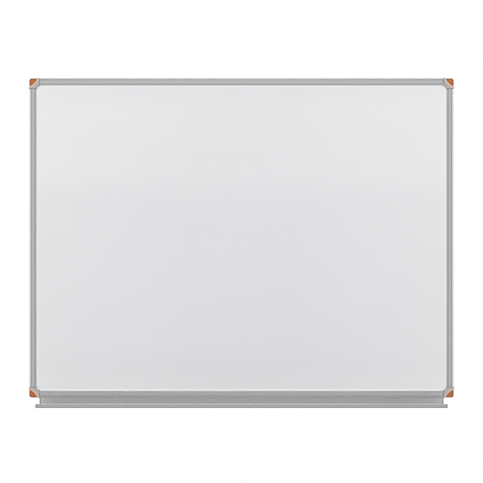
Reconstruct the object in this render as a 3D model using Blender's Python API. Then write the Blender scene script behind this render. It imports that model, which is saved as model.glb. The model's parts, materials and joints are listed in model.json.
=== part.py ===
"""A wall-mounted writing board, 1200 mm wide and 903 mm high over its aluminium frame.

A panel of lacquered steel on a core board sits in four lengths of one hollow extrusion.
Moulded corner caps join the rails with legs that are screwed in from behind. A cover pulls out
of each cap to reach the screw that holds the board to the wall, and a pen tray hangs in the
bottom rail's groove.

Lengths are metres. X runs to the right, Y into the wall and Z up. The wall is the plane Y = 0,
and the origin is the middle of the frame on that plane.
"""

import math

import bmesh
import bpy
from mathutils import Matrix, Vector

# Board
BOARD_WIDTH = 1.2
BOARD_HEIGHT = 0.903

# Fits
SEAT_GAP = 0.0003
CUT_OVERRUN = 0.002
WELD_SHARE = 0.01

# Panel, from the front: its recess in the frame, its three layers and the space behind it
PANEL_RECESS = 0.0035
SHEET_THICKNESS = 0.0005
CORE_THICKNESS = 0.0085
BACKING_THICKNESS = 0.0004
REAR_SPACE = 0.0065
PANEL_EDGE_GAP = 0.0004
PANEL_CLIP = 0.0140

# Rail section, measured across the rail from its outer edge and out from the wall
RAIL_FACE = 0.0210
RAIL_WALL = 0.0014
LIP_WALL = 0.0019
FLANK_RADIUS = 0.0052
LIP_RADIUS = 0.0026
FACE_GROOVE_RADIUS = 0.0008
FACE_GROOVE_DEPTH = 0.0012
FACE_GROOVE_SETBACK = 0.0004
LIP_GROOVE_RADIUS = 0.0007
LIP_GROOVE_DEPTH = 0.0009
LIP_GROOVE_SETBACK = 0.0003
LEG_CHAMBER_WIDTH = 0.0070
SLOT_MOUTH = 0.0024
SLOT_WIDTH = 0.0046
SLOT_DEPTH = 0.0030
REAR_LIP_WIDTH = 0.0045
REAR_BEAD_WIDTH = 0.0012

# Wall screw in the corner cap
WALL_SCREW_INSET = 0.0095
WALL_SCREW_HOLE_RADIUS = 0.00325
WALL_SCREW_RECESS_RADIUS = 0.0056
WALL_SCREW_FLOOR = 0.0045
LEDGE_DEPTH = 0.0100

# Screw cover
COVER_INSET = 0.0015
COVER_BOW_RISE = 0.0024
COVER_TIP_LENGTH = 0.0050
COVER_TIP_RADIUS = 0.0030
COVER_EDGE_RADIUS = 0.0027
COVER_PROUD = 0.0014
COVER_WALL = 0.0014
COVER_ROOF = 0.0018
PRONG_SETBACK = 0.0006
PRONG_WIDTH = 0.0030
PRONG_FROM_EDGE = 0.0039
PRONG_THICKNESS = 0.0017
PRONG_TIP_DEPTH = 0.0030
PRONG_TAPER = 0.0005
PRONG_TAPER_LENGTH = 0.0020

# Corner cap
CAP_COLLAR = 0.0062
CAP_LIP_OVERLAP = 0.0014
CAP_PROUD = 0.0010
CAP_CORNER_RADIUS = 0.0080
CAP_PLAN_RADIUS = 0.0017
CAP_EDGE_RADIUS = 0.0014
CAP_CHAMFER_WIDTH = 0.0028
CAP_CHAMFER_DEPTH = 0.0024
CAP_NECK_WIDTH = 0.0012
CAP_NECK_STEP = 0.0010
CAP_WALL = 0.0018
CAP_RIM_WIDTH = 0.0052
CAP_LINE_WIDTH = 0.0008
CAP_LINE_DEPTH = 0.0006
CORE_START_WALL = 0.0011
CORE_END_WALL = 0.0024
CORE_ROOF = 0.0020
DEEP_CORE_WIDTH = 0.0036
DEEP_CORE_RIB = 0.0018
DEEP_CORE_ROOF = 0.0022
BLOCK_RIB = 0.0036

# Cap legs in the rails
LEG_LENGTH = 0.0280
LEG_NOSE = 0.0015
LEG_FLOOR = 0.0023
LEG_WALL = 0.0012
LEG_ROOT_BLOCK = 0.0020
LEG_SCREW_BLOCK = 0.0060
LEG_TIP_BLOCK = 0.0025

# Leg screws
LEG_SCREW_ALONG = 0.0130
LEG_SCREW_RADIUS = 0.00145
LEG_SCREW_HEAD_RADIUS = 0.0028
LEG_SCREW_SUNK = 0.00015
LEG_SCREW_POINT = 0.0015
LEG_SCREW_TIP_GAP = 0.0012

# Pen tray, down from the bottom rail and out from its own back plate
TRAY_REACH = 0.0588
TRAY_DROP = 0.0199
TRAY_FLOOR = 0.0016
TRAY_FOOT_RADIUS = 0.0012
TRAY_FILLET = 0.0014
TRAY_SHOULDER_HEIGHT = 0.0020
TRAY_SHOULDER_PROUD = 0.0018
TRAY_END_TUCK = 0.0020
TRAY_TONGUE_PLAY = 0.0005
TRAY_NOTCH_RELIEF = 0.0004
TRAY_LIP_HEIGHT = 0.0111
TRAY_LIP_WALL = 0.0015
TRAY_BEAD_RADIUS = 0.0014
TRAY_CHANNEL_DEPTH = 0.0008
TRAY_CHANNEL_HEIGHT = 0.0022
TRAY_TOE_RADIUS = 0.0026

# How finely round shapes are cut
CORNER_STEPS = 8
EDGE_STEPS = 4
BOW_STEPS = 14
SMALL_ARC_STEPS = 4
HOLE_STEPS = 32
SCREW_STEPS = 16

# Depths from the wall that several pieces share
PANEL_BACK = REAR_SPACE
CORE_BACK = PANEL_BACK + BACKING_THICKNESS + SEAT_GAP
SHEET_BACK = CORE_BACK + CORE_THICKNESS + SEAT_GAP
PANEL_FRONT = SHEET_BACK + SHEET_THICKNESS
FRAME_DEPTH = PANEL_FRONT + PANEL_RECESS
CAP_FRONT = FRAME_DEPTH + CAP_PROUD
COVER_FRONT = CAP_FRONT + COVER_PROUD
SLOT_FRONT = FRAME_DEPTH - FLANK_RADIUS
SLOT_BACK = SLOT_FRONT - SLOT_WIDTH
MOUTH_FRONT = SLOT_FRONT - (SLOT_WIDTH - SLOT_MOUTH) / 2
MOUTH_BACK = MOUTH_FRONT - SLOT_MOUTH
LEG_CHAMBER_FRONT = SLOT_BACK - RAIL_WALL

# Places in from the board's outer edge that several pieces share
LEG_CHAMBER_END = RAIL_WALL + LEG_CHAMBER_WIDTH
CHANNEL = LEG_CHAMBER_END + RAIL_WALL
PANEL_INSET = CHANNEL + PANEL_EDGE_GAP
CORE_START = WALL_SCREW_INSET + WALL_SCREW_RECESS_RADIUS + CORE_START_WALL
PRONG_START = CORE_START + PRONG_SETBACK
COVER_REACH = PRONG_START + PRONG_WIDTH + COVER_TIP_LENGTH
CAP_SIDE = COVER_REACH + CAP_COLLAR
CAP_ARM = RAIL_FACE + CAP_LIP_OVERLAP
RAIL_END = CAP_SIDE + SEAT_GAP
LEG_CENTRE = RAIL_WALL + LEG_CHAMBER_WIDTH / 2
LEG_SCREW_PLACE = CAP_SIDE + LEG_SCREW_ALONG

# Each corner's name, its side and height in halves of the board, and its quarter turns
CORNERS = (
    ("top_left", -1, 1, 0),
    ("top_right", 1, 1, 1),
    ("bottom_right", 1, -1, 2),
    ("bottom_left", -1, -1, 3),
)


def clear_scene():
    for old in list(bpy.data.objects):
        bpy.data.objects.remove(old, do_unlink=True)


def material(name, colour, roughness, metallic=0.0):
    finish = bpy.data.materials.new(name)
    finish.use_nodes = True
    shader = finish.node_tree.nodes["Principled BSDF"]
    shader.inputs["Base Color"].default_value = (*colour, 1)
    shader.inputs["Roughness"].default_value = roughness
    shader.inputs["Metallic"].default_value = metallic
    finish.diffuse_color = (*colour, 1)
    return finish


# An outline is drawn flat, in two lengths. Each of these sets it, and a third, in space.
def on_front(across, down, out):
    return Vector((across, -out, -down))


def on_front_swapped(across, down, out):
    """The same with across and down changed over, for a corner's other arm."""
    return Vector((down, -out, -across))


def on_end(down, out, along):
    return Vector((along, -out, -down))


def arc(centre, radius, start, end, steps):
    """Points round a centre from one angle to another, in degrees, with both ends."""
    angles = [math.radians(start + (end - start) * i / steps) for i in range(steps + 1)]
    return [(centre[0] + radius * math.cos(t), centre[1] + radius * math.sin(t)) for t in angles]


def inset_outline(arcs, inset):
    """An outline of arcs and the straight lines between them, drawn in by a length.

    A hollow arc runs the other way round, so it grows where a full one shrinks.
    """
    points = []
    for centre, radius, start, end, steps in arcs:
        shrink = inset if end > start else -inset
        points += arc(centre, radius - shrink, start, end, steps)
    return points


def rectangle(low, high):
    return [(low[0], low[1]), (high[0], low[1]), (high[0], high[1]), (low[0], high[1])]


def solid(name, bm):
    """An object from a closed shape, with its faces turned outwards."""
    bmesh.ops.recalc_face_normals(bm, faces=bm.faces)
    mesh = bpy.data.meshes.new(name)
    bm.to_mesh(mesh)
    bm.free()
    body = bpy.data.objects.new(name, mesh)
    bpy.context.scene.collection.objects.link(body)
    return body


def prism(name, outlines, start, end, place):
    """The area between closed outlines, carried from one level to another."""
    bm = bmesh.new()
    edges = []
    for outline in outlines:
        corners = [bm.verts.new(place(p, q, start)) for p, q in outline]
        edges += [bm.edges.new(pair) for pair in zip(corners, corners[1:] + corners[:1])]
    bmesh.ops.triangle_fill(bm, use_beauty=True, edges=edges)
    grown = bmesh.ops.extrude_face_region(bm, geom=bm.faces[:])
    moved = [item for item in grown["geom"] if isinstance(item, bmesh.types.BMVert)]
    bmesh.ops.translate(bm, verts=moved, vec=place(0, 0, end) - place(0, 0, start))
    return solid(name, bm)


def loft(name, rings):
    """A closed shape over rings of as many points each."""
    bm = bmesh.new()
    loops = [[bm.verts.new(point) for point in ring] for ring in rings]
    for lower, upper in zip(loops, loops[1:]):
        for i in range(len(lower)):
            bm.faces.new((lower[i - 1], lower[i], upper[i], upper[i - 1]))
    bm.faces.new(loops[0])
    bm.faces.new(loops[-1])
    return solid(name, bm)


def cushioned(name, arcs, back, front, radius):
    """An outline of arcs carried from back to front, with its front edge rounded over."""
    levels = [(0, back)]
    for i in range(EDGE_STEPS + 1):
        turn = math.radians(90 * i / EDGE_STEPS)
        levels.append((radius * (1 - math.cos(turn)), front - radius * (1 - math.sin(turn))))
    rings = []
    for inset, out in levels:
        rings.append([on_front(p, q, out) for p, q in inset_outline(arcs, inset)])
    return loft(name, rings)


def turned(name, profile, steps):
    """A profile of radius and depth, spun round the Y axis from pole to pole."""
    bm = bmesh.new()
    points = [bm.verts.new((radius, -out, 0)) for radius, out in profile]
    edges = [bm.edges.new(pair) for pair in zip(points, points[1:])]
    full_turn = 2 * math.pi
    bmesh.ops.spin(
        bm,
        geom=points + edges,
        axis=(0, 1, 0),
        cent=(0, 0, 0),
        angle=full_turn,
        steps=steps,
        use_merge=True,
    )
    bmesh.ops.remove_doubles(bm, verts=bm.verts, dist=SEAT_GAP * WELD_SHARE)
    return solid(name, bm)


def combine(body, other, operation):
    """Joins another solid to a body or cuts it away, and leaves only the body."""
    modifier = body.modifiers.new("Shape", "BOOLEAN")
    modifier.operation = operation
    modifier.solver = "EXACT"
    modifier.object = other
    bpy.context.view_layer.update()
    seen = body.evaluated_get(bpy.context.evaluated_depsgraph_get())
    shaped = bpy.data.meshes.new_from_object(seen)
    body.modifiers.clear()
    body.data = shaped
    bpy.data.objects.remove(other)


def cut(body, *cutters):
    for cutter in cutters:
        combine(body, cutter, "DIFFERENCE")


def join(body, *pieces):
    for piece in pieces:
        combine(body, piece, "UNION")


def mesh_of(body, name, smooth_to=35):
    """The mesh of a body that is made, shaded smooth up to an angle in degrees."""
    mesh = body.data
    mesh.name = name
    mesh.materials.clear()
    mesh.shade_smooth()
    mesh.set_sharp_from_angle(angle=math.radians(smooth_to))
    bpy.data.objects.remove(body)
    return mesh


def linked(name, data, parent, location=(0, 0, 0), quarter_turns=0):
    """An object placed under its parent, turned about Y. Without data it is an empty."""
    piece = bpy.data.objects.new(name, data)
    bpy.context.scene.collection.objects.link(piece)
    piece.parent = parent
    piece.location = location
    piece.rotation_euler = (0, math.radians(90 * quarter_turns), 0)
    return piece


# Rails
def face_groove(across, radius, depth):
    """A round-bottomed groove in the rail's face, met from the lip's side."""
    centre = (across, FRAME_DEPTH - depth + radius)
    return [
        (across + radius, FRAME_DEPTH),
        *arc(centre, radius, 0, -180, SMALL_ARC_STEPS),
        (across - radius, FRAME_DEPTH),
    ]


def rail_outline():
    """The extrusion's outer boundary: rear lip, panel channel, front lip, grooves and slot."""
    rear_end = CHANNEL + REAR_LIP_WIDTH
    rear_bead_end = rear_end - REAR_BEAD_WIDTH
    rear_bead = PANEL_BACK - SEAT_GAP
    lip_foot = PANEL_FRONT + SEAT_GAP
    lip_centre = (RAIL_FACE - LIP_RADIUS, FRAME_DEPTH - LIP_RADIUS)
    lip_groove = lip_centre[0] - LIP_GROOVE_SETBACK - LIP_GROOVE_RADIUS
    flank_groove = FLANK_RADIUS + FACE_GROOVE_SETBACK + FACE_GROOVE_RADIUS
    flank_centre = (FLANK_RADIUS, FRAME_DEPTH - FLANK_RADIUS)
    slot_end = RAIL_WALL + SLOT_DEPTH
    return [
        (0, 0),
        (rear_end, 0),
        (rear_end, rear_bead),
        (rear_bead_end, rear_bead),
        (rear_bead_end, RAIL_WALL),
        (CHANNEL, RAIL_WALL),
        (CHANNEL, FRAME_DEPTH - LIP_WALL),
        *arc(lip_centre, LIP_RADIUS - LIP_WALL, 90, 0, SMALL_ARC_STEPS),
        (RAIL_FACE - LIP_WALL, lip_foot),
        (RAIL_FACE, lip_foot),
        *arc(lip_centre, LIP_RADIUS, 0, 90, CORNER_STEPS),
        *face_groove(lip_groove, LIP_GROOVE_RADIUS, LIP_GROOVE_DEPTH),
        *face_groove(flank_groove, FACE_GROOVE_RADIUS, FACE_GROOVE_DEPTH),
        *arc(flank_centre, FLANK_RADIUS, 90, 180, CORNER_STEPS),
        (0, MOUTH_FRONT),
        (RAIL_WALL, MOUTH_FRONT),
        (RAIL_WALL, SLOT_FRONT),
        (slot_end, SLOT_FRONT),
        (slot_end, SLOT_BACK),
        (RAIL_WALL, SLOT_BACK),
        (RAIL_WALL, MOUTH_BACK),
        (0, MOUTH_BACK),
    ]


def rail_chambers():
    """The chamber that takes a cap's leg, and the one that bends round the slot."""
    leg_chamber = rectangle((RAIL_WALL, RAIL_WALL), (LEG_CHAMBER_END, LEG_CHAMBER_FRONT))
    beside_slot = RAIL_WALL + SLOT_DEPTH + RAIL_WALL
    over_slot = SLOT_FRONT + RAIL_WALL
    front = FRAME_DEPTH - RAIL_WALL - FACE_GROOVE_DEPTH
    flank_centre = (FLANK_RADIUS, FRAME_DEPTH - FLANK_RADIUS)
    inner_radius = FLANK_RADIUS - RAIL_WALL
    low, high = (
        180 - math.degrees(math.asin((level - flank_centre[1]) / inner_radius))
        for level in (over_slot, front)
    )
    bent_chamber = [
        (beside_slot, SLOT_BACK),
        (LEG_CHAMBER_END, SLOT_BACK),
        (LEG_CHAMBER_END, front),
        *arc(flank_centre, inner_radius, high, low, SMALL_ARC_STEPS),
        (beside_slot, over_slot),
    ]
    return [leg_chamber, bent_chamber]


def countersink(along):
    """The hole for a leg screw in a rail's back, wider than the screw all round."""
    hole = LEG_SCREW_RADIUS + SEAT_GAP
    spread = LEG_SCREW_HEAD_RADIUS + LEG_SCREW_SUNK + SEAT_GAP * math.sqrt(2)
    depth = spread - hole
    profile = [
        (0, -CUT_OVERRUN),
        (spread, -CUT_OVERRUN),
        (spread, 0),
        (hole, depth),
        (hole, depth + CUT_OVERRUN),
        (0, depth + CUT_OVERRUN),
    ]
    cutter = turned("countersink", profile, SCREW_STEPS)
    cutter.location = on_front(along, LEG_CENTRE, 0)
    return cutter


def rail_mesh(name, span):
    """One rail for a side of this length, centred, with its outer edge at Z = 0."""
    half = span / 2 - RAIL_END
    rail = prism(name, [rail_outline(), *rail_chambers()], -half, half, on_end)
    for side in (-1, 1):
        cut(rail, countersink(side * (span / 2 - LEG_SCREW_PLACE)))
    return mesh_of(rail, name)


def add_rails(board, aluminium):
    level = rail_mesh("level_rail", BOARD_WIDTH)
    upright = rail_mesh("upright_rail", BOARD_HEIGHT)
    level.materials.append(aluminium)
    upright.materials.append(aluminium)
    half_width = BOARD_WIDTH / 2
    half_height = BOARD_HEIGHT / 2
    linked("rail_top", level, board, (0, 0, half_height), 0)
    linked("rail_right", upright, board, (half_width, 0, 0), 1)
    linked("rail_bottom", level, board, (0, 0, -half_height), 2)
    linked("rail_left", upright, board, (-half_width, 0, 0), 3)


# Panel
def panel_outline():
    """The panel's outline, with its corners clipped off to clear the wall screws."""
    right = BOARD_WIDTH / 2 - PANEL_INSET
    top = BOARD_HEIGHT / 2 - PANEL_INSET
    short_right = right - PANEL_CLIP
    short_top = top - PANEL_CLIP
    return [
        (right, short_top),
        (short_right, top),
        (-short_right, top),
        (-right, short_top),
        (-right, -short_top),
        (-short_right, -top),
        (short_right, -top),
        (right, -short_top),
    ]


def add_panel(board, white, fibreboard, galvanised):
    layers = (
        ("writing_sheet", SHEET_BACK, SHEET_THICKNESS, white),
        ("core_board", CORE_BACK, CORE_THICKNESS, fibreboard),
        ("backing_sheet", PANEL_BACK, BACKING_THICKNESS, galvanised),
    )
    for name, back, thickness, finish in layers:
        layer = prism("layer", [panel_outline()], back, back + thickness, on_front)
        mesh = mesh_of(layer, name)
        mesh.materials.append(finish)
        linked(name, mesh, board)


# Corner cap, drawn from the board's outer corner
def cap_arcs():
    """The cap seen from the front: a quarter round outside and a hollow arc inside."""
    near = CAP_PLAN_RADIUS
    far = CAP_SIDE - CAP_PLAN_RADIUS
    arm = CAP_ARM - CAP_PLAN_RADIUS
    outer = (CAP_CORNER_RADIUS, CAP_CORNER_RADIUS)
    hollow = (CAP_SIDE, CAP_SIDE)
    hollow_radius = CAP_SIDE - CAP_ARM
    hollow_start = 2 * math.degrees(math.asin(CAP_PLAN_RADIUS / hollow_radius))
    return [
        (outer, CAP_CORNER_RADIUS, 180, 270, CORNER_STEPS),
        ((far, near), CAP_PLAN_RADIUS, 270, 360, EDGE_STEPS),
        ((far, arm), CAP_PLAN_RADIUS, 0, 90, EDGE_STEPS),
        (hollow, hollow_radius, 270 - hollow_start, 180 + hollow_start, CORNER_STEPS),
        ((arm, far), CAP_PLAN_RADIUS, 0, 90, EDGE_STEPS),
        ((near, far), CAP_PLAN_RADIUS, 90, 180, EDGE_STEPS),
    ]


def bow():
    """The centre and radius of the cover's bowed inner edge, from tip to tip."""
    half_chord = (COVER_REACH - COVER_INSET) / math.sqrt(2)
    radius = (half_chord**2 + COVER_BOW_RISE**2) / (2 * COVER_BOW_RISE)
    middle = (COVER_REACH + COVER_INSET) / 2
    centre = middle - (radius - COVER_BOW_RISE) / math.sqrt(2)
    return (centre, centre), radius


def bow_angle(radius, down):
    """Where a circle round the bow's centre comes to this far down, in degrees."""
    centre = bow()[0]
    return math.degrees(math.asin((down - centre[1]) / radius))


def cover_tip():
    """The centre of the cover's round tip, and its angle as seen from the bow's centre."""
    centre, radius = bow()
    down = COVER_INSET + COVER_TIP_RADIUS
    angle = bow_angle(radius - COVER_TIP_RADIUS, down)
    across = centre[0] + (radius - COVER_TIP_RADIUS) * math.cos(math.radians(angle))
    return (across, down), angle


def cover_seat():
    """Clears the cap's outer corner for the cover, down to a ledge."""
    centre, radius = bow()
    (tip_across, tip_down), angle = cover_tip()
    tip_radius = COVER_TIP_RADIUS + SEAT_GAP
    end = tip_across + tip_radius
    outline = [
        (-CUT_OVERRUN, -CUT_OVERRUN),
        (end, -CUT_OVERRUN),
        *arc((tip_across, tip_down), tip_radius, 0, angle, EDGE_STEPS),
        *arc(centre, radius + SEAT_GAP, angle, 90 - angle, BOW_STEPS)[1:-1],
        *arc((tip_down, tip_across), tip_radius, 90 - angle, 90, EDGE_STEPS),
        (-CUT_OVERRUN, end),
    ]
    return prism("seat", [outline], LEDGE_DEPTH, CAP_FRONT + CUT_OVERRUN, on_front)


def rim_line():
    """The fine line that sets off a rim along the cover."""
    centre, radius = bow()
    inner = radius + CAP_RIM_WIDTH
    outer = inner + CAP_LINE_WIDTH
    start = bow_angle(inner, -CUT_OVERRUN)
    outline = [
        *arc(centre, outer, start, 90 - start, BOW_STEPS),
        *arc(centre, inner, 90 - start, start, BOW_STEPS),
    ]
    return prism("line", [outline], CAP_FRONT - CAP_LINE_DEPTH, CAP_FRONT + CUT_OVERRUN, on_front)


def panel_pocket():
    """The pocket that takes the panel's clipped corner, clear of its edges all along."""
    clip = CHANNEL + PANEL_CLIP + PANEL_EDGE_GAP * (2 - math.sqrt(2))
    far = CAP_SIDE + CUT_OVERRUN
    outline = [(clip, CHANNEL), (far, CHANNEL), (far, far), (CHANNEL, far), (CHANNEL, clip)]
    return prism("pocket", [outline], PANEL_BACK - SEAT_GAP, PANEL_FRONT + SEAT_GAP, on_front)


def wall_screw_hole():
    """The hole for a wall screw, with a recess for its head."""
    profile = [
        (0, -CUT_OVERRUN),
        (WALL_SCREW_HOLE_RADIUS, -CUT_OVERRUN),
        (WALL_SCREW_HOLE_RADIUS, WALL_SCREW_FLOOR),
        (WALL_SCREW_RECESS_RADIUS, WALL_SCREW_FLOOR),
        (WALL_SCREW_RECESS_RADIUS, LEDGE_DEPTH + CUT_OVERRUN),
        (0, LEDGE_DEPTH + CUT_OVERRUN),
    ]
    cutter = turned("wall_screw_hole", profile, HOLE_STEPS)
    cutter.location = on_front(WALL_SCREW_INSET, WALL_SCREW_INSET, 0)
    return cutter


def hollow_chamfer():
    """A cone that takes the edge off the cap's hollow corner."""
    widening = CAP_CHAMFER_WIDTH / CAP_CHAMFER_DEPTH
    radius = CAP_SIDE - CAP_ARM
    low = CAP_FRONT - CAP_CHAMFER_DEPTH - CUT_OVERRUN
    high = CAP_FRONT + CUT_OVERRUN
    profile = [
        (0, low),
        (radius - CUT_OVERRUN * widening, low),
        (radius + (CAP_CHAMFER_DEPTH + CUT_OVERRUN) * widening, high),
        (0, high),
    ]
    cutter = turned("hollow_chamfer", profile, HOLE_STEPS)
    cutter.location = on_front(CAP_SIDE, CAP_SIDE, 0)
    return cutter


def neck_groove(place):
    """Narrows an arm's end to a neck, a shadow line between the cap and its rail."""
    neck_front = FRAME_DEPTH - CAP_NECK_STEP
    front = CAP_FRONT + CUT_OVERRUN
    inner = CAP_ARM + CUT_OVERRUN
    outline = [
        (-CUT_OVERRUN, -CUT_OVERRUN),
        (CAP_NECK_STEP, -CUT_OVERRUN),
        (CAP_NECK_STEP, neck_front),
        (inner, neck_front),
        (inner, front),
        (-CUT_OVERRUN, front),
    ]
    start, end = CAP_SIDE - CAP_NECK_WIDTH, CAP_SIDE + CUT_OVERRUN
    return prism("neck", [outline], start, end, lambda down, out, along: place(along, down, out))


def block_hollow(place):
    """A hollow in the back of the block under the panel's corner, beside a slanting rib."""
    far = CAP_SIDE - CORE_END_WALL
    radius = CAP_SIDE - CAP_ARM + CAP_WALL
    at_end_wall = 180 + math.degrees(math.acos(CORE_END_WALL / radius))
    at_rib = 225 + math.degrees(math.asin(BLOCK_RIB / 2 / radius))
    outline = [
        (CORE_START, CHANNEL),
        (far, CHANNEL),
        *arc((CAP_SIDE, CAP_SIDE), radius, at_end_wall, at_rib, EDGE_STEPS),
        (CORE_START, CORE_START - BLOCK_RIB / math.sqrt(2)),
    ]
    roof = PANEL_BACK - SEAT_GAP - CORE_ROOF
    return prism("block_hollow", [outline], -CUT_OVERRUN, roof, place)


def arm_hollows(place):
    """The hollows in an arm's back on either side of a rib, and the slot for a prong."""
    deep_end = CAP_SIDE - CORE_END_WALL
    deep_start = deep_end - DEEP_CORE_WIDTH
    breadth_end = CHANNEL - CAP_WALL
    shallow = rectangle((CORE_START, CAP_WALL), (deep_start - DEEP_CORE_RIB, breadth_end))
    deep = rectangle((deep_start, CAP_WALL), (deep_end, breadth_end))
    prong_low, prong_high = prong_corners()
    slot_low = [length - SEAT_GAP for length in prong_low]
    slot_high = [length + SEAT_GAP for length in prong_high]
    slot = rectangle(slot_low, slot_high)
    roof = LEDGE_DEPTH - CORE_ROOF
    return [
        prism("shallow_hollow", [shallow], -CUT_OVERRUN, roof, place),
        prism("deep_hollow", [deep], -CUT_OVERRUN, CAP_FRONT - DEEP_CORE_ROOF, place),
        prism("prong_slot", [slot], roof - CUT_OVERRUN, LEDGE_DEPTH + CUT_OVERRUN, place),
    ]


def leg(place):
    """One leg: a nosed bar, hollowed to a trough on either side of its screw block."""
    low = RAIL_WALL + SEAT_GAP
    far_side = LEG_CHAMBER_END - SEAT_GAP
    front = LEG_CHAMBER_FRONT - SEAT_GAP
    root = CAP_SIDE - CORE_END_WALL / 2
    tip = CAP_SIDE + LEG_LENGTH
    seen_along = [
        (root, low),
        (tip - LEG_NOSE, low),
        (tip, low + LEG_NOSE),
        (tip, front - LEG_NOSE),
        (tip - LEG_NOSE, front),
        (root, front),
    ]
    bar = prism("leg", [seen_along], low, far_side, lambda along, out, down: place(along, down, out))
    block = LEG_SCREW_PLACE - LEG_SCREW_BLOCK / 2
    troughs = (
        (CAP_SIDE + LEG_ROOT_BLOCK, block),
        (block + LEG_SCREW_BLOCK, tip - LEG_TIP_BLOCK),
    )
    for start, end in troughs:
        trough = rectangle((start, low + LEG_WALL), (end, far_side - LEG_WALL))
        cut(bar, prism("trough", [trough], low + LEG_FLOOR, front + CUT_OVERRUN, place))
    hole_radius = LEG_SCREW_RADIUS + SEAT_GAP
    hole_end = front + CUT_OVERRUN
    profile = [(0, 0), (hole_radius, 0), (hole_radius, hole_end), (0, hole_end)]
    hole = turned("leg_hole", profile, SCREW_STEPS)
    hole.location = place(LEG_SCREW_PLACE, LEG_CENTRE, 0)
    cut(bar, hole)
    return bar


def cap_mesh():
    cap = cushioned("cap", cap_arcs(), 0, CAP_FRONT, CAP_EDGE_RADIUS)
    cut(cap, cover_seat(), rim_line(), panel_pocket(), wall_screw_hole(), hollow_chamfer())
    for place in (on_front, on_front_swapped):
        cut(cap, neck_groove(place), block_hollow(place), *arm_hollows(place))
        join(cap, leg(place))
    return mesh_of(cap, "corner_cap")


# Screw cover, drawn from the board's outer corner
def cover_arcs():
    """The cover seen from the front: two straight sides and a bow, with round corners."""
    centre, radius = bow()
    (tip_across, tip_down), angle = cover_tip()
    corner_radius = CAP_CORNER_RADIUS - COVER_INSET
    return [
        ((CAP_CORNER_RADIUS, CAP_CORNER_RADIUS), corner_radius, 180, 270, CORNER_STEPS),
        ((tip_across, tip_down), COVER_TIP_RADIUS, 270, 360 + angle, CORNER_STEPS),
        (centre, radius, angle, 90 - angle, BOW_STEPS),
        ((tip_down, tip_across), COVER_TIP_RADIUS, 90 - angle, 180, CORNER_STEPS),
    ]


def prong_corners():
    """A prong's section, along the cap's arm and in from the board's edge."""
    low = (PRONG_START, PRONG_FROM_EDGE)
    high = (PRONG_START + PRONG_WIDTH, PRONG_FROM_EDGE + PRONG_THICKNESS)
    return low, high


def prong(place):
    """A prong that narrows to its tip, from the cover's roof to below the cap's ledge."""
    low, high = prong_corners()
    levels = (
        (PRONG_TAPER, PRONG_TIP_DEPTH),
        (0, PRONG_TIP_DEPTH + PRONG_TAPER_LENGTH),
        (0, COVER_FRONT - COVER_ROOF / 2),
    )
    rings = []
    for taper, out in levels:
        narrow_low = [length + taper for length in low]
        narrow_high = [length - taper for length in high]
        rings.append([place(p, q, out) for p, q in rectangle(narrow_low, narrow_high)])
    return loft("prong", rings)


def cover_mesh():
    """The cover as a shell with two prongs, drawn from the wall screw's axis."""
    back = LEDGE_DEPTH + SEAT_GAP
    arcs = cover_arcs()
    cover = cushioned("cover", arcs, back, COVER_FRONT, COVER_EDGE_RADIUS)
    inside = inset_outline(arcs, COVER_WALL)
    cut(cover, prism("inside", [inside], back - CUT_OVERRUN, COVER_FRONT - COVER_ROOF, on_front))
    join(cover, prong(on_front), prong(on_front_swapped))
    mesh = mesh_of(cover, "screw_cover")
    mesh.transform(Matrix.Translation(-wall_screw_place()))
    return mesh


def wall_screw_place():
    return on_front(WALL_SCREW_INSET, WALL_SCREW_INSET, 0)


# Leg screws
def leg_screw_mesh():
    """A countersunk screw, its flat head just below the rail's back."""
    neck = LEG_SCREW_SUNK + LEG_SCREW_HEAD_RADIUS - LEG_SCREW_RADIUS
    tip = LEG_CHAMBER_FRONT - LEG_SCREW_TIP_GAP
    profile = [
        (0, LEG_SCREW_SUNK),
        (LEG_SCREW_HEAD_RADIUS, LEG_SCREW_SUNK),
        (LEG_SCREW_RADIUS, neck),
        (LEG_SCREW_RADIUS, tip - LEG_SCREW_POINT),
        (0, tip),
    ]
    return mesh_of(turned("screw", profile, SCREW_STEPS), "leg_screw")


def add_corners(board, grey, orange, zinc):
    """At each corner a cap, its cover and the two screws that hold its legs."""
    cap = cap_mesh()
    cover = cover_mesh()
    screw = leg_screw_mesh()
    cap.materials.append(grey)
    cover.materials.append(orange)
    screw.materials.append(zinc)
    for name, side, height, quarter_turns in CORNERS:
        place = (side * BOARD_WIDTH / 2, 0, height * BOARD_HEIGHT / 2)
        corner = linked("corner_" + name, None, board, place, quarter_turns)
        linked("corner_cap_" + name, cap, corner)
        linked("screw_cover_" + name, cover, corner, wall_screw_place())
        first = on_front(LEG_SCREW_PLACE, LEG_CENTRE, 0)
        second = on_front(LEG_CENTRE, LEG_SCREW_PLACE, 0)
        linked(f"leg_screw_{name}_1", screw, corner, first)
        linked(f"leg_screw_{name}_2", screw, corner, second)


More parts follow.
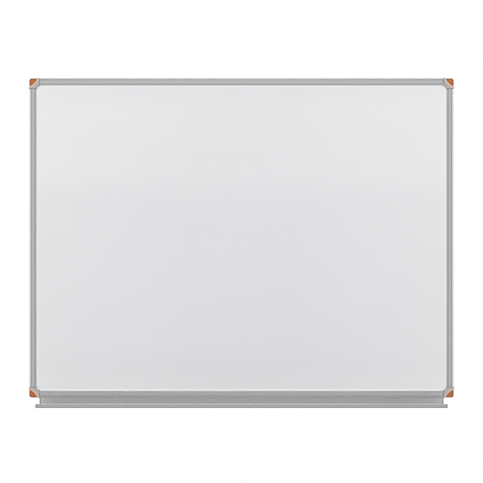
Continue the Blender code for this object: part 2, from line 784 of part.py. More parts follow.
# Pen tray
def tray_outline():
    """The tray's section: tongue, shoulder, back plate, floor and beaded lip."""
    tongue_top = -(RAIL_WALL + SLOT_DEPTH - SEAT_GAP)
    tongue_low = -(RAIL_WALL + SEAT_GAP)
    tongue_back = SLOT_BACK + SEAT_GAP
    tongue_front = SLOT_FRONT - SEAT_GAP
    shoulder_top = SEAT_GAP
    shoulder_low = shoulder_top + TRAY_SHOULDER_HEIGHT
    plate_back = MOUTH_BACK + SEAT_GAP
    plate_front = MOUTH_FRONT - SEAT_GAP
    floor_top = TRAY_DROP - TRAY_FLOOR
    lip_top = TRAY_DROP - TRAY_LIP_HEIGHT
    lip_front = plate_front + TRAY_REACH
    channel_top = lip_top + 2 * TRAY_BEAD_RADIUS
    channel_low = channel_top + TRAY_CHANNEL_HEIGHT
    channel_back = lip_front - TRAY_CHANNEL_DEPTH
    lip_back = channel_back - TRAY_LIP_WALL
    bead = (lip_top + TRAY_BEAD_RADIUS, lip_front - TRAY_BEAD_RADIUS)
    bead_start = math.degrees(math.asin((channel_back - bead[1]) / TRAY_BEAD_RADIUS))
    bead_end = 180 + math.degrees(math.asin((bead[1] - lip_back) / TRAY_BEAD_RADIUS))
    foot = (TRAY_DROP - TRAY_FOOT_RADIUS, plate_back + TRAY_FOOT_RADIUS)
    toe = (TRAY_DROP - TRAY_TOE_RADIUS, lip_front - TRAY_TOE_RADIUS)
    heel = (floor_top - TRAY_FILLET, lip_back - TRAY_FILLET)
    root = (floor_top - TRAY_FILLET, plate_front + TRAY_FILLET)
    return [
        (tongue_top, tongue_back),
        (tongue_low, tongue_back),
        (tongue_low, plate_back),
        (shoulder_top, plate_back),
        (shoulder_top, plate_back - TRAY_SHOULDER_PROUD),
        (shoulder_low, plate_back - TRAY_SHOULDER_PROUD),
        (shoulder_low, plate_back),
        *arc(foot, TRAY_FOOT_RADIUS, -90, 0, SMALL_ARC_STEPS),
        *arc(toe, TRAY_TOE_RADIUS, 0, 90, CORNER_STEPS),
        (channel_low, lip_front),
        (channel_low, channel_back),
        *arc(bead, TRAY_BEAD_RADIUS, bead_start, bead_end, 2 * CORNER_STEPS),
        *arc(heel, TRAY_FILLET, 90, 0, SMALL_ARC_STEPS),
        *arc(root, TRAY_FILLET, 0, -90, SMALL_ARC_STEPS),
        (shoulder_low, plate_front),
        (shoulder_low, plate_front + TRAY_SHOULDER_PROUD),
        (shoulder_top, plate_front + TRAY_SHOULDER_PROUD),
        (shoulder_top, plate_front),
        (tongue_low, plate_front),
        (tongue_low, tongue_front),
        (tongue_top, tongue_front),
    ]


def add_tray(board, aluminium):
    """The tray, its tongue notched back at both ends to fit between the corner caps."""
    half = BOARD_WIDTH / 2 - CAP_SIDE + TRAY_END_TUCK
    tray = prism("tray", [tray_outline()], -half, half, on_end)
    tongue_half = BOARD_WIDTH / 2 - RAIL_END - TRAY_TONGUE_PLAY
    notch_top = -(RAIL_WALL + SLOT_DEPTH + CUT_OVERRUN)
    notch_low = SEAT_GAP + TRAY_NOTCH_RELIEF
    notch = rectangle((notch_top, 0), (notch_low, FRAME_DEPTH + CUT_OVERRUN))
    for side in (-1, 1):
        ends = (side * tongue_half, side * (half + CUT_OVERRUN))
        cut(tray, prism("notch", [notch], *ends, on_end))
    mesh = mesh_of(tray, "pen_tray")
    mesh.materials.append(aluminium)
    linked("pen_tray", mesh, board, (0, 0, -BOARD_HEIGHT / 2))


def main():
    clear_scene()
    aluminium = material("anodised_aluminium", (0.52, 0.52, 0.53), 0.36, 1.0)
    white = material("white_lacquer", (0.83, 0.83, 0.84), 0.22)
    fibreboard = material("core_fibreboard", (0.34, 0.24, 0.15), 0.8)
    galvanised = material("galvanised_steel", (0.55, 0.57, 0.58), 0.45, 1.0)
    grey = material("grey_moulding", (0.44, 0.46, 0.48), 0.45)
    orange = material("orange_moulding", (0.69, 0.19, 0.05), 0.38)
    zinc = material("zinc_plate", (0.6, 0.61, 0.62), 0.32, 1.0)

    board = linked("board", None, None)
    add_panel(board, white, fibreboard, galvanised)
    add_rails(board, aluminium)
    add_corners(board, grey, orange, zinc)
    add_tray(board, aluminium)


main()
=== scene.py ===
"""The looks of the wall-mounted writing board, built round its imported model."""

import json
import math

import bmesh
import bpy
from mathutils import Matrix, Vector


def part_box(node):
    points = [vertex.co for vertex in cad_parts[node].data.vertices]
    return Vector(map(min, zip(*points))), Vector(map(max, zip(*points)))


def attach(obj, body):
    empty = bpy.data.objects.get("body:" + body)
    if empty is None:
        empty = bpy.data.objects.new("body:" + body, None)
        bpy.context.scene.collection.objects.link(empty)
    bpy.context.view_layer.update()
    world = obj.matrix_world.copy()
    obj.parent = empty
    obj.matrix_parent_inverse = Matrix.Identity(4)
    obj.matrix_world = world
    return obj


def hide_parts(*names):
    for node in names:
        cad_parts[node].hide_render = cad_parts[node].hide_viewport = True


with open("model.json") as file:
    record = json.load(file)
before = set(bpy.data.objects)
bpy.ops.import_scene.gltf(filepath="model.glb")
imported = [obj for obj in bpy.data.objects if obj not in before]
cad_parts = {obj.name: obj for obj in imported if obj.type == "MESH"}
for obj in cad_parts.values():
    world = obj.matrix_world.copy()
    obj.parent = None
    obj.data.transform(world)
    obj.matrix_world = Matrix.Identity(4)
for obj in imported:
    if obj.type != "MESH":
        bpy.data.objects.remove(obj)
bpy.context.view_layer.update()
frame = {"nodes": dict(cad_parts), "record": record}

scene = bpy.context.scene
nodes = frame["nodes"]
record = frame["record"]
body_of = {node: body for body, members in record["behaviour"]["bodies"].items() for node in members}

# Axes, then half the sizes of the board and its tray, read off the frame
ACROSS, OUT, UP = 0, 1, 2
BOARD_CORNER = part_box("corner_cap_top_right")[1]
BOARD_HALF = {ACROSS: BOARD_CORNER[ACROSS], UP: BOARD_CORNER[UP]}
TRAY_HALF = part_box("pen_tray")[1][ACROSS]

# Rail: places in from the board's outer edge, and the depth where the painted sheen on its flank fades
RAIL_FACE = 0.021
FACE_GROOVE = 0.0066
LIP_GROOVE = 0.0178
GROOVE_REACH = 0.0011
LIP_START = 0.01934
LIP_FADE = 0.00022
FLANK_FRONT = -0.0148
FLANK_FADE = 0.001

# Corner cap: places in from the board's outer edges, and depths in front of the wall
CAP_HOLLOW_CENTRE = 0.031
CAP_HOLLOW_RADIUS = 0.0086
CAP_CORNER_RADIUS = 0.008
CAP_CHAMFER_WIDTH = 0.0028
CAP_CHAMFER_FADE = 0.00056
CAP_NECK = 0.0298
CAP_NECK_FADE = 0.0004
CAP_FACE = -0.0185
CAP_FACE_FADE = 0.0003
LEDGE_DEPTH = -0.0100
LEDGE_REACH = 0.0006
LEDGE_WIDTH = 0.0018
LEDGE_FADE = 0.00054

# Bow between a cap and its cover: an arc round a point outside the board's corner
BOW_CENTRE = -0.0260
BOW_RADIUS = 0.0578
BOW_RIM = 0.0052
BOW_RIM_FADE = 0.00052

# Cover: lines of painted shade and painted highlight, in from the board's outer edges and from the bow
COVER_SHADE = 0.0044
COVER_SHADE_REACH = 0.0022
COVER_SHADE_WANDER = 0.0008
COVER_BOW_SHADE = -0.0026
COVER_BRIGHT = 0.0096
COVER_BRIGHT_REACH = 0.0034

# Writing sheet: the width of its painted highlight by the frame, the height of its painted band of light,
# and where its painted light to the sides and above the tray begins and ends
PAINTED_EDGE_LIGHT = 0.0031
PAINTED_EDGE_LIGHT_FADE = 0.0006
PAINTED_LIGHT_BAND = 0.27
PAINTED_LIGHT_BAND_REACH = 0.17
SIDE_LIGHT_START = 0.15
TRAY_LIGHT_END = 0.084

# Tray: places down from the board's bottom edge, the depth of its lip's back, and the length of its darker
# ends
BEAD_TOP = 0.0091
BEAD_REACH = 0.0011
BEAD_END = 0.0116
BEAD_FADE = 0.0003
CHANNEL_MIDDLE = 0.0127
CHANNEL_REACH = 0.0022
TOE_START = 0.0163
TOE_FADE = 0.0015
LIP_BACK = -0.0708
LIP_BACK_FADE = 0.0002
DARK_END = 0.0050


# Shader maths and the one way to make a shader node
class Value:
    """A number that changes over a surface. Sums on it add Math nodes."""

    def __init__(self, shading, socket):
        self.shading = shading
        self.socket = socket

    def maths(self, operation, *terms, clamp=False):
        settings = {"operation": operation, "use_clamp": clamp}
        return self.shading.value("ShaderNodeMath", settings, dict(enumerate(terms)))

    def __add__(self, other):
        return self.maths("ADD", self, other)

    __radd__ = __add__

    def __sub__(self, other):
        return self.maths("SUBTRACT", self, other)

    def __rsub__(self, other):
        return self.maths("SUBTRACT", other, self)

    def __mul__(self, other):
        return self.maths("MULTIPLY", self, other)

    __rmul__ = __mul__

    def __pow__(self, other):
        return self.maths("POWER", self, other)

    def __abs__(self):
        return self.maths("ABSOLUTE", self)

    def hypotenuse(self, other):
        return (self * self + other * other) ** 0.5

    def at_least(self, other):
        return self.maths("MAXIMUM", self, other)

    def at_most(self, other):
        return self.maths("MINIMUM", self, other)

    def between(self, low, high):
        """0 at or below low, 1 at or above high, and even in between."""
        return self.maths("MULTIPLY", self - low, 1 / (high - low), clamp=True)

    def past(self, place, fade):
        """0 up to a place, then up to 1 over its fade."""
        return self.between(place, place + fade)

    def near(self, place, reach):
        """1 at a place and half way to its reach on both sides, then down to 0."""
        return 1 - abs(self - place).between(reach / 2, reach)


class Shading:
    """A tree of shader nodes, and the one way to add to it."""

    def __init__(self, tree):
        self.tree = tree

    def node(self, kind, settings=None, sockets=None):
        made = self.tree.nodes.new(kind)
        for name, setting in (settings or {}).items():
            setattr(made, name, setting)
        for name, feed in (sockets or {}).items():
            self.feed(made.inputs[name], feed)
        return made

    def feed(self, socket, feed):
        if isinstance(feed, Value):
            feed = feed.socket
        if isinstance(feed, bpy.types.NodeSocket):
            self.tree.links.new(feed, socket)
        else:
            socket.default_value = feed

    def value(self, kind, settings=None, sockets=None, output=0):
        return Value(self, self.node(kind, settings, sockets).outputs[output])

    def seen(self):
        """1 for rays of the camera, of gloss and of clear materials, else 0."""
        path = self.node("ShaderNodeLightPath")
        camera, glossy, clear = (
            Value(self, path.outputs[f"Is {kind} Ray"]) for kind in ("Camera", "Glossy", "Transmission")
        )
        return camera.at_least(glossy).at_least(clear)


class Finish(Shading):
    """A material whose detail comes from shader nodes on its Principled shader."""

    def __init__(self, name, constants=None):
        self.material = bpy.data.materials.new(name)
        self.material.use_nodes = True
        super().__init__(self.material.node_tree)
        self.shader = self.tree.nodes["Principled BSDF"]
        for socket, number in (constants or {}).items():
            self.shader.inputs[socket].default_value = number
        self.place = self.node("ShaderNodeTexCoord").outputs["Object"]

    def stretched(self, scale):
        """The place on the object, scaled along each axis."""
        settings = {"operation": "MULTIPLY"}
        return self.node("ShaderNodeVectorMath", settings, {0: self.place, 1: scale}).outputs[0]

    def noise(self, scale, detail=2.0, roughness=0.5, place=None):
        sockets = {"Vector": place or self.place, "Scale": scale, "Detail": detail, "Roughness": roughness}
        return self.value("ShaderNodeTexNoise", None, sockets)

    def along(self, axis):
        """How far along an axis of the object, in metres."""
        split = self.node("ShaderNodeSeparateXYZ", None, {0: self.place})
        return Value(self, split.outputs[axis])

    def in_from_edge(self, axis):
        """How far in from the board's outer edge at either end of an axis."""
        return BOARD_HALF[axis] - abs(self.along(axis))

    def past_corner(self, margin):
        """How far out past the rectangle with this margin inside the board, also round its corners."""
        across, down = (margin - self.in_from_edge(axis) for axis in (ACROSS, UP))
        return across.at_least(0).hypotenuse(down.at_least(0))

    def past_bow(self):
        """How far in past the bow that parts a cap from its cover."""
        across, down = (self.in_from_edge(axis) - BOW_CENTRE for axis in (ACROSS, UP))
        return across.hypotenuse(down) - BOW_RADIUS

    def blend(self, factor, first, second):
        """A colour between two colours."""
        mix = self.node("ShaderNodeMix", {"data_type": "RGBA"}, {0: factor, 6: first, 7: second})
        return mix.outputs[2]

    def colour(self, feed):
        self.feed(self.shader.inputs["Base Color"], feed)

    def roughness(self, feed):
        self.feed(self.shader.inputs["Roughness"], feed)

    def bump(self, height, distance, strength):
        sockets = {"Height": height, "Distance": distance, "Strength": strength}
        self.feed(self.shader.inputs["Normal"], self.node("ShaderNodeBump", None, sockets).outputs[0])


def rgb(red, green, blue):
    return (red, green, blue, 1.0)


# Finishes
# Colours of painted light and painted shade on the metal
PAINTED_LIGHT_METAL = rgb(0.72, 0.721, 0.73)
PAINTED_SHADE_METAL = rgb(0.17, 0.168, 0.165)
DIE_LINES_LENGTHWISE = 3
DIE_LINES_CROSSWISE = 1700
LINES_TO_A_BAND = 9


def white_lacquer():
    """Glossy lacquer on steel: a faint orange peel, a random haze, and painted light.

    Light is painted into the colour: it is lighter towards the sides and towards the top, in a band
    across the upper part, and just above the tray, against the tray's shade. A painted highlight
    lines the last few millimetres before the frame.
    """
    finish = Finish("white_lacquer", {"IOR": 1.5})
    haze = finish.noise(2.6, detail=3.0, place=finish.stretched((1, 1, 2.2)))
    wiping = finish.noise(34, place=finish.stretched((0.16, 1, 1)))
    peel = finish.noise(620, detail=1.5)
    height = finish.along(UP)
    # Painted light: lighter towards the sides and the top, in a band across the upper part, and above the
    # tray against its shade; the haze is the lacquer's own random tone
    beside = abs(finish.along(ACROSS)).between(SIDE_LIGHT_START, BOARD_HALF[ACROSS])
    above = height.between(-BOARD_HALF[UP], BOARD_HALF[UP])
    painted_light_over_tray = 1 - (height + BOARD_HALF[UP]).between(RAIL_FACE, TRAY_LIGHT_END)
    painted_light_band = height.near(PAINTED_LIGHT_BAND, PAINTED_LIGHT_BAND_REACH)
    haze_and_painted_light = 0.1 * haze.between(0.3, 0.7) + 0.35 * beside + 0.33 * above
    haze_and_painted_light = haze_and_painted_light + 0.27 * painted_light_band + 0.5 * painted_light_over_tray
    hazed_and_painted = finish.blend(haze_and_painted_light, rgb(0.752, 0.755, 0.77), rgb(0.865, 0.868, 0.88))
    # Painted highlight: a whiter line on the last few millimetres before the frame
    margin = finish.past_corner(CAP_HOLLOW_CENTRE).past(CAP_HOLLOW_RADIUS - PAINTED_EDGE_LIGHT, PAINTED_EDGE_LIGHT_FADE)
    finish.colour(finish.blend(margin, hazed_and_painted, rgb(0.94, 0.945, 0.952)))
    finish.roughness(0.2 + 0.05 * haze + 0.05 * wiping)
    finish.bump(peel, distance=0.00002, strength=0.6)
    return finish.material


def anodised(name, lengthwise):
    """Anodised extrusion: die lines that run its length, and an etched grain.

    It gives the finish and the metal's colour, for the finish of each kind of extrusion.
    """
    finish = Finish(name, {"Metallic": 1.0})
    scale = [DIE_LINES_CROSSWISE] * 3
    scale[lengthwise] = DIE_LINES_LENGTHWISE
    wide_scale = [along / LINES_TO_A_BAND for along in scale]
    lines = finish.noise(1.0, detail=3.0, roughness=0.65, place=finish.stretched(scale))
    bands = finish.noise(1.0, detail=1.0, place=finish.stretched(wide_scale))
    grain = finish.noise(5200)
    shade = (0.6 * lines + 0.4 * bands).between(0.25, 0.75)
    finish.roughness(0.3 + 0.14 * lines + 0.06 * grain)
    finish.bump(lines + 0.3 * grain, distance=0.00003, strength=0.35)
    return finish, finish.blend(shade, rgb(0.42, 0.421, 0.43), rgb(0.505, 0.506, 0.516))


def rail_aluminium(name, lengthwise, sheen_to, shade_place, shade_strength, lip_sheen):
    """A rail's metal, with a painted sheen on its outer rounding and its lip, and painted shade in lines
    by its grooves.
    """
    finish, metal = anodised(name, lengthwise)
    inwards = finish.in_from_edge(UP if lengthwise == ACROSS else ACROSS)
    flank = finish.along(OUT).past(FLANK_FRONT, FLANK_FADE)
    # Painted sheen: paler metal on the outer rounding and, on the level rails, on the lip
    painted_light = (1 - inwards.between(0.8 * sheen_to, sheen_to)) * (1 - 0.8 * flank)
    lip = inwards.past(LIP_START, LIP_FADE)
    metal = finish.blend(painted_light.at_least(lip_sheen * lip), metal, PAINTED_LIGHT_METAL)
    # Painted shade: darker lines by the face groove, set off it on the level rails, and in the lip groove
    face_groove_shade = shade_strength * inwards.near(shade_place, GROOVE_REACH)
    lip_groove_shade = 0.8 * inwards.near(LIP_GROOVE, GROOVE_REACH)
    finish.colour(finish.blend(face_groove_shade.at_least(lip_groove_shade), metal, PAINTED_SHADE_METAL))
    return finish.material


def tray_aluminium():
    """The tray's metal, with painted light inside the trough and down to its bead, painted shade on its
    bead's top, channel and toe, and darker at its ends.
    """
    finish, metal = anodised("anodised_aluminium_tray", ACROSS)
    below = 0 - finish.in_from_edge(UP)
    behind_lip = finish.along(OUT).past(LIP_BACK, LIP_BACK_FADE)
    # Painted light: paler metal inside the trough, against its shade, and down the front to the bead's
    # lower edge
    painted_light = behind_lip.at_least(1 - below.between(BEAD_END - BEAD_FADE, BEAD_END))
    metal = finish.blend(0.5 * painted_light, metal, PAINTED_LIGHT_METAL)
    # Painted shade: darker lines on the bead's top, in the channel and on the toe
    bead_top = below.near(BEAD_TOP, BEAD_REACH)
    channel = below.near(CHANNEL_MIDDLE, CHANNEL_REACH)
    toe = below.past(TOE_START, TOE_FADE)
    painted_shade = (0.3 * channel + 0.45 * bead_top + 0.95 * toe) * (1 - behind_lip)
    # Darker over the last few millimetres at each end
    dark_end = abs(finish.along(ACROSS)).past(TRAY_HALF - DARK_END, DARK_END / 2)
    finish.colour(finish.blend(painted_shade.at_least(0.75 * dark_end), metal, PAINTED_SHADE_METAL))
    return finish.material


def moulding(name, dark, light, roughness):
    """Moulded plastic: an eroded texture and slow clouds from the flow of the melt.

    It gives the finish and the plastic's colour, for the finish of each kind of moulding.
    """
    finish = Finish(name, {"IOR": 1.43})
    flow = finish.noise(70)
    pits = finish.noise(4200, detail=3.0, roughness=0.6)
    finish.roughness(roughness + 0.1 * pits + 0.06 * flow)
    finish.bump(pits, distance=0.00004, strength=0.5)
    return finish, finish.blend((0.7 * flow + 0.3 * pits).between(0.3, 0.7), dark, light)


def cap_plastic():
    """The caps' grey plastic, with a painted highlight on its rim and ledge, and painted shade along its
    hollow and at its arms' ends.
    """
    dark, light = rgb(0.45, 0.44, 0.435), rgb(0.505, 0.49, 0.485)
    finish, grey = moulding("grey_moulding", dark, light, roughness=0.36)
    across, down = finish.in_from_edge(ACROSS), finish.in_from_edge(UP)
    inwards = across.at_most(down)
    face = 1 - finish.along(OUT).between(CAP_FACE - CAP_FACE_FADE, CAP_FACE)
    # Painted highlight: a pale band beside the bow and round the outer edges of the face
    rim_highlight = inwards.between(0, BOW_RIM) * (1 - finish.past_bow().between(BOW_RIM - BOW_RIM_FADE, BOW_RIM))
    grey = finish.blend(rim_highlight * face, grey, rgb(0.75, 0.57, 0.48))
    # Painted highlight on the ledge round the cover
    ledge_highlight = finish.along(OUT).near(LEDGE_DEPTH, LEDGE_REACH) * (1 - inwards.past(LEDGE_WIDTH, LEDGE_FADE))
    grey = finish.blend(ledge_highlight, grey, rgb(0.93, 0.78, 0.68))
    # Painted shade on the chamfer along the hollow
    chamfer_end = CAP_HOLLOW_RADIUS + CAP_CHAMFER_WIDTH
    past_hollow = finish.past_corner(CAP_HOLLOW_CENTRE)
    chamfer_shade = 1 - past_hollow.between(chamfer_end - CAP_CHAMFER_FADE, chamfer_end)
    grey = finish.blend(0.7 * chamfer_shade * face, grey, rgb(0.37, 0.39, 0.42))
    # Painted shade at the necks, where the arms meet the rails
    neck_shade = across.at_least(down).between(CAP_NECK - CAP_NECK_FADE, CAP_NECK)
    finish.colour(finish.blend(0.6 * neck_shade, grey, rgb(0.24, 0.245, 0.255)))
    return finish.material


def cover_plastic():
    """The covers' orange plastic, with painted shade on the lower covers.

    Painted shade runs inside the outer edges, a painted highlight inside that, and faint painted
    shade along the bow.
    """
    dark, light = rgb(0.52, 0.092, 0.002), rgb(0.61, 0.122, 0.005)
    finish, orange = moulding("orange_moulding", dark, light, roughness=0.3)
    # Painted shade: the lower covers darker
    lower = 1 - finish.along(UP).between(-BOARD_HALF[UP], BOARD_HALF[UP])
    orange = finish.blend(0.27 * lower, orange, rgb(0.33, 0.060, 0.002))
    inwards = finish.in_from_edge(ACROSS).at_most(finish.in_from_edge(UP))
    # Painted highlight: a paler band inside the outer edges
    bright = inwards.near(COVER_BRIGHT, COVER_BRIGHT_REACH)
    orange = finish.blend(0.6 * bright, orange, rgb(0.72, 0.18, 0.03))
    # Painted shade inside the outer edges, along a wandering line, and faintly along the bow
    wander = COVER_SHADE_WANDER * (finish.noise(260, detail=3.0) - 0.5)
    outwards = finish.past_corner(CAP_CORNER_RADIUS) + wander
    edge_shade = outwards.near(CAP_CORNER_RADIUS - COVER_SHADE, COVER_SHADE_REACH)
    bow_shade = 0.45 * finish.past_bow().near(COVER_BOW_SHADE, COVER_SHADE_REACH)
    finish.colour(finish.blend(edge_shade.at_least(bow_shade), orange, rgb(0.27, 0.088, 0.022)))
    return finish.material


def galvanised():
    """Zinc-coated sheet with its spangle."""
    finish = Finish("galvanised_steel", {"Metallic": 1.0})
    clouds = finish.noise(3.5, detail=3.0)
    sockets = {"Vector": finish.place, "Scale": 210.0, "Randomness": 1.0}
    crystals = finish.node("ShaderNodeTexVoronoi", {"feature": "F1"}, sockets)
    split = finish.node("ShaderNodeSeparateColor", None, {0: crystals.outputs["Color"]})
    facet = Value(finish, split.outputs[0])
    tilt = Value(finish, split.outputs[1])
    shade = 0.45 * facet + 0.55 * clouds
    finish.colour(finish.blend(shade, rgb(0.47, 0.485, 0.50), rgb(0.60, 0.61, 0.62)))
    finish.roughness(0.36 + 0.1 * tilt + 0.05 * clouds)
    finish.bump(clouds + 0.1 * facet, distance=0.00004, strength=0.25)
    return finish.material


def fibreboard():
    """Pressed wood fibre, seen on the core's cut edges."""
    finish = Finish("core_fibreboard", {"Roughness": 0.85})
    fibre = finish.noise(900, detail=4.0, roughness=0.7)
    clump = finish.noise(120)
    finish.colour(finish.blend(0.6 * fibre + 0.4 * clump, rgb(0.20, 0.13, 0.075), rgb(0.42, 0.30, 0.19)))
    finish.bump(fibre, distance=0.0001, strength=0.6)
    return finish.material


def zinc_plate():
    """Bright zinc on a small screw, a little blue, with a fine turned grain."""
    finish = Finish("zinc_plate", {"Metallic": 1.0})
    grain = finish.noise(3000)
    tint = finish.noise(260, detail=1.0)
    finish.colour(finish.blend(tint, rgb(0.55, 0.57, 0.60), rgb(0.66, 0.66, 0.64)))
    finish.roughness(0.24 + 0.14 * grain)
    finish.bump(grain, distance=0.00002, strength=0.4)
    return finish.material


# The level rails and the uprights carry their painted sheen and painted shade in different places
top_rail = rail_aluminium(
    "anodised_aluminium_top", ACROSS, sheen_to=0.0015, shade_place=0.0044, shade_strength=0.75, lip_sheen=1.0
)
bottom_rail = rail_aluminium(
    "anodised_aluminium_bottom", ACROSS, sheen_to=0.0052, shade_place=0.0040, shade_strength=0.35, lip_sheen=1.0
)
upright_rail = rail_aluminium(
    "anodised_aluminium_upright", UP, sheen_to=0.0054, shade_place=FACE_GROOVE, shade_strength=0.75, lip_sheen=0.0
)
FINISHES = {
    "writing_sheet": white_lacquer(),
    "core_board": fibreboard(),
    "backing_sheet": galvanised(),
    "rail_top": top_rail,
    "rail_bottom": bottom_rail,
    "rail_left": upright_rail,
    "rail_right": upright_rail,
    "pen_tray": tray_aluminium(),
    "corner_cap": cap_plastic(),
    "screw_cover": cover_plastic(),
    "leg_screw": zinc_plate(),
}


def finish_of(name):
    return next(finish for start, finish in FINISHES.items() if name.startswith(start))


for name, node in nodes.items():
    node.data.materials.clear()
    node.data.materials.append(finish_of(name))


# Pieces
WELD = 0.000001
FLAT_ANGLE = math.radians(0.5)
EDGE_ANGLE = math.radians(32)
LARGE_FACE_WEIGHT = 80
EDGE_RADIUS = {"rail": 0.00018, "pen_tray": 0.00018, "corner_cap": 0.0002, "screw_cover": 0.0002}


def piece(name, bm, node):
    """A piece that takes a CAD node's place, body and finish."""
    mesh = bpy.data.meshes.new(name)
    bm.to_mesh(mesh)
    bm.free()
    mesh.shade_smooth()
    mesh.materials.append(finish_of(node))
    made = bpy.data.objects.new(name, mesh)
    scene.collection.objects.link(made)
    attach(made, body_of[node])
    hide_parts(node)
    return made


def softened(node, radius):
    """The CAD node's own form, with a fine rounding along its sharp edges and its flats kept flat."""
    bm = bmesh.new()
    bm.from_mesh(nodes[node].data)
    bmesh.ops.remove_doubles(bm, verts=bm.verts, dist=WELD)
    bmesh.ops.dissolve_limit(bm, angle_limit=FLAT_ANGLE, verts=bm.verts, edges=bm.edges)
    made = piece(node + "_softened", bm, node)
    rounding = made.modifiers.new("rounding", "BEVEL")
    rounding.width = radius
    rounding.segments = 2
    rounding.limit_method = "ANGLE"
    rounding.angle_limit = EDGE_ANGLE
    flats = made.modifiers.new("flats", "WEIGHTED_NORMAL")
    flats.mode = "FACE_AREA"
    flats.weight = LARGE_FACE_WEIGHT


# Leg screws, drawn round the Y axis: a head sunk into the rail's back, and a threaded core
SCREW_HEAD_RADIUS = 0.0028
SCREW_SUNK = 0.00015
SCREW_RIM = 0.00015
SCREW_THREAD_RADIUS = 0.00145
SCREW_CORE_RADIUS = 0.00105
SCREW_NECK = SCREW_SUNK + SCREW_RIM + SCREW_HEAD_RADIUS - SCREW_CORE_RADIUS
SCREW_PITCH = 0.0011
SCREW_POINT = 0.0018
SCREW_SEGMENTS = 28
RINGS_TO_A_PITCH = 6
RECESS_REACH = 0.0017
RECESS_WIDTH = 0.0008
RECESS_DEPTH = 0.0017
RECESS_FOOT = 0.4
TURN_FROM_THE_LAST = math.radians(53)
FULL_TURN = 2 * math.pi
QUARTER_TURN = math.pi / 2


def turned(bm, angle, axis):
    matrix = Matrix.Rotation(angle, 3, axis)
    bmesh.ops.rotate(bm, verts=bm.verts, cent=(0, 0, 0), matrix=matrix)


def screw_blank(tip):
    """A countersunk head on a plain core, closed at both poles."""
    profile = [
        (0, SCREW_SUNK),
        (SCREW_HEAD_RADIUS - SCREW_RIM, SCREW_SUNK),
        (SCREW_HEAD_RADIUS, SCREW_SUNK + SCREW_RIM),
    ]
    rings = round((tip - SCREW_NECK) / SCREW_PITCH * RINGS_TO_A_PITCH)
    for ring in range(rings + 1):
        depth = SCREW_NECK + (tip - SCREW_NECK) * ring / rings
        profile.append((SCREW_CORE_RADIUS * min(1, (tip - depth) / SCREW_POINT), depth))
    bm = bmesh.new()
    points = [bm.verts.new((radius, -depth, 0)) for radius, depth in profile]
    edges = [bm.edges.new(pair) for pair in zip(points, points[1:])]
    bmesh.ops.spin(
        bm,
        geom=points + edges,
        axis=(0, 1, 0),
        cent=(0, 0, 0),
        angle=FULL_TURN,
        steps=SCREW_SEGMENTS,
        use_merge=True,
    )
    bmesh.ops.remove_doubles(bm, verts=bm.verts, dist=WELD)
    bmesh.ops.recalc_face_normals(bm, faces=bm.faces)
    return bm


def raise_thread(bm, tip):
    """Moves the core's rings out into a right-hand thread that runs in and out smoothly."""
    for vert in bm.verts:
        depth = -vert.co.y
        radius = math.hypot(vert.co.x, vert.co.z)
        if depth <= SCREW_NECK or radius == 0:
            continue
        turn = math.atan2(vert.co.z, vert.co.x) / FULL_TURN
        ridge = 1 - abs(2 * ((depth / SCREW_PITCH - turn) % 1) - 1)
        run_in = min(1, (depth - SCREW_NECK) / SCREW_PITCH)
        run_out = min(1, (tip - depth) / SCREW_POINT)
        height = (SCREW_THREAD_RADIUS - SCREW_CORE_RADIUS) * ridge * run_in * run_out
        vert.co.x *= 1 + height / radius
        vert.co.z *= 1 + height / radius


def recess_bar(angle):
    """One of the two bars of a cross recess, narrower at its foot."""
    corner = math.sqrt(0.5)
    height = RECESS_DEPTH + SCREW_SUNK
    bm = bmesh.new()
    bmesh.ops.create_cone(
        bm, cap_ends=True, segments=4, radius1=RECESS_FOOT * corner, radius2=corner, depth=1
    )
    turned(bm, QUARTER_TURN / 2, "Z")
    bmesh.ops.scale(bm, verts=bm.verts, vec=(2 * RECESS_REACH, RECESS_WIDTH, height))
    turned(bm, -QUARTER_TURN, "X")
    bmesh.ops.translate(bm, verts=bm.verts, vec=(0, -height / 2, 0))
    turned(bm, angle, "Y")
    bmesh.ops.recalc_face_normals(bm, faces=bm.faces)
    return bm


def carved(blank, cutters):
    """The mesh that is left when the cutters are cut away from a blank."""
    solids = []
    for bm in (blank, *cutters):
        mesh = bpy.data.meshes.new("blank")
        bm.to_mesh(mesh)
        bm.free()
        solid = bpy.data.objects.new("blank", mesh)
        scene.collection.objects.link(solid)
        solids.append(solid)
    for cutter in solids[1:]:
        cut = solids[0].modifiers.new("cut", "BOOLEAN")
        cut.operation = "DIFFERENCE"
        cut.object = cutter
    bpy.context.view_layer.update()
    cut_blank = solids[0].evaluated_get(bpy.context.evaluated_depsgraph_get())
    left = bpy.data.meshes.new_from_object(cut_blank)
    for solid in solids:
        bpy.data.objects.remove(solid)
    return left


def leg_screws():
    """The screws in the caps' legs, each stopped at a turn of its own."""
    screws = [node for node in nodes if node.startswith("leg_screw")]
    tip = -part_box(screws[0])[0][OUT]
    blank = screw_blank(tip)
    raise_thread(blank, tip)
    mesh = carved(blank, [recess_bar(0), recess_bar(QUARTER_TURN)])
    for number, node in enumerate(screws):
        low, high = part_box(node)
        middle = (Vector(low) + Vector(high)) / 2
        bm = bmesh.new()
        bm.from_mesh(mesh)
        turned(bm, TURN_FROM_THE_LAST * number, "Y")
        bmesh.ops.translate(bm, verts=bm.verts, vec=(middle.x, 0, middle.z))
        screw = piece(node + "_threaded", bm, node)
        screw.data.set_sharp_from_angle(angle=EDGE_ANGLE)


for node in nodes:
    for start, radius in EDGE_RADIUS.items():
        if node.startswith(start):
            softened(node, radius)
leg_screws()

# Floor, far below the board as it hangs. It fades to the background's white with distance.
FLOOR_LEVEL = -1.25
FLOOR_RADIUS = 2.3
FLOOR_SEGMENTS = 96
FADE_START = 0.9
FADE_END = 2.2
NEAR_PALENESS = 0.7


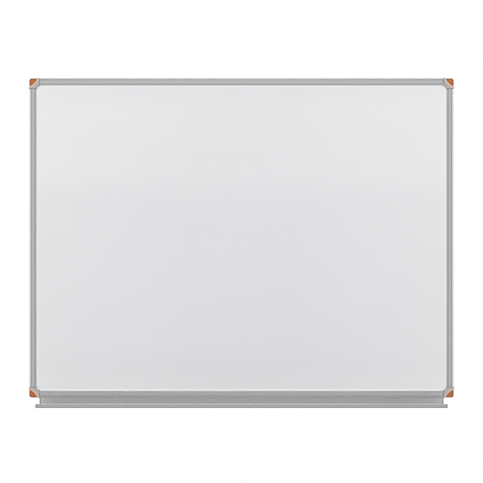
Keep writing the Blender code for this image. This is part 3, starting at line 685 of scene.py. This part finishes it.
def pale_floor():
    finish = Finish("pale_floor", {"Roughness": 0.7})
    mottle = finish.noise(1.3, detail=3.0)
    finish.colour(finish.blend(mottle, rgb(0.86, 0.86, 0.86), rgb(0.89, 0.89, 0.89)))
    fade = finish.along(ACROSS).hypotenuse(finish.along(OUT)).between(FADE_START, FADE_END)
    paleness = (NEAR_PALENESS + (1 - NEAR_PALENESS) * fade) * finish.seen()
    glow = finish.node("ShaderNodeEmission", None, {"Strength": 1.0})
    sockets = {0: paleness, 1: finish.shader.outputs[0], 2: glow.outputs[0]}
    mixed = finish.node("ShaderNodeMixShader", None, sockets)
    finish.feed(finish.tree.nodes["Material Output"].inputs["Surface"], mixed.outputs[0])
    return finish.material


bm = bmesh.new()
bmesh.ops.create_circle(bm, cap_ends=True, segments=FLOOR_SEGMENTS, radius=FLOOR_RADIUS)
bmesh.ops.translate(bm, verts=bm.verts, vec=(0, 0, FLOOR_LEVEL))
floor_mesh = bpy.data.meshes.new("floor")
bm.to_mesh(floor_mesh)
bm.free()
floor = bpy.data.objects.new("floor", floor_mesh)
scene.collection.objects.link(floor)
floor_mesh.materials.append(pale_floor())

# World: it lights the board softly from the front, and shows as white to the camera and in gloss
ALL_ROUND_LIGHT = 0.15
FRONT_LIGHT = 0.85
FRONT = (0, -0.97, 0.243)
world = bpy.data.worlds.new("studio")
scene.world = world
world.use_nodes = True
studio = Shading(world.node_tree)
direction = studio.node("ShaderNodeTexCoord").outputs["Generated"]
settings = {"operation": "DOT_PRODUCT"}
frontness = studio.value("ShaderNodeVectorMath", settings, {0: direction, 1: FRONT}, "Value")
light = ALL_ROUND_LIGHT + FRONT_LIGHT * frontness.at_least(0)
seen = studio.seen()
background = world.node_tree.nodes["Background"]
studio.feed(background.inputs["Color"], rgb(1.0, 1.0, 1.0))
studio.feed(background.inputs["Strength"], seen + (1 - seen) * light)


# Softboxes: two at the sides, two behind and one above
def softbox(name, place, target, width, height, watts):
    lamp = bpy.data.lights.new(name, "AREA")
    lamp.shape = "RECTANGLE"
    lamp.size = width
    lamp.size_y = height
    lamp.energy = watts
    box = bpy.data.objects.new(name, lamp)
    box.location = place
    box.rotation_euler = (Vector(target) - Vector(place)).to_track_quat("-Z", "Y").to_euler()
    scene.collection.objects.link(box)


for side in (-1, 1):
    beside, behind = (side * 3.1, -2.4, 0.2), (side * 2.5, 2.2, 1.9)
    softbox("side_softbox", beside, (side * 0.1, 0, 0), width=1.2, height=2.0, watts=10)
    softbox("rear_softbox", behind, (0, 0, 0), width=1.2, height=1.6, watts=40)
softbox("high_softbox", (0, -2.6, 2.7), (0, 0, 0.1), width=2.4, height=1.0, watts=24)

# Camera, level and square to the board
CAMERA_DISTANCE = 2.93
CAMERA_HEIGHT = -0.010
LENS = 76.9
SENSOR_WIDTH = 36.0
camera = bpy.data.objects.new("camera", bpy.data.cameras.new("camera"))
camera.data.lens = LENS
camera.data.sensor_width = SENSOR_WIDTH
camera.location = (0, -CAMERA_DISTANCE, CAMERA_HEIGHT)
camera.rotation_euler = (math.radians(90), 0, 0)
scene.collection.objects.link(camera)
scene.camera = camera
scene.view_settings.view_transform = "Standard"
